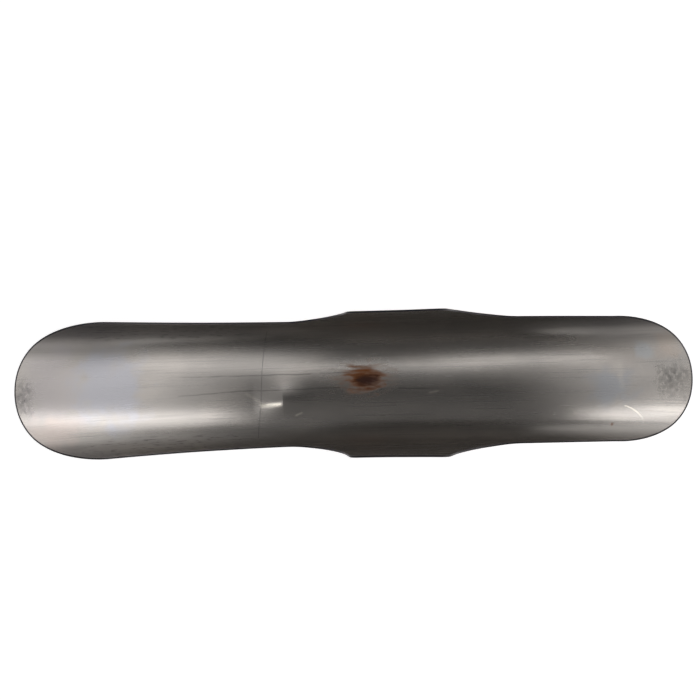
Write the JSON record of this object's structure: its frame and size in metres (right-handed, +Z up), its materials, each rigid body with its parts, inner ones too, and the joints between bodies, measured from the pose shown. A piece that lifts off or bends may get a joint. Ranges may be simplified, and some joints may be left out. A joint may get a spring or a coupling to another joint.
{
  "type": "motorcycle front fender",
  "caption": "Bare pressed-steel front mudguard for a motorcycle wheel: a curved trough with rounded ends, low skirts and flat side wings that seat between the fork legs.",
  "frame": {"origin": "under the middle of the length, on the middle plane, at the height of the lowest point of the crown", "axes": "+Z up out of the hollow as the fender lies on its back, +X along its length towards the front end, which has the lower skirts, +Y across it from wing to wing"},
  "size_m": [0.568, 0.129, 0.1488],
  "materials": {
    "bare_steel": "bare mill steel, semi-gloss, with light stains and a rust spot"
  },
  "bodies": {
    "root": {"fender_shell": "bare_steel"}
  },
  "joints": []
}
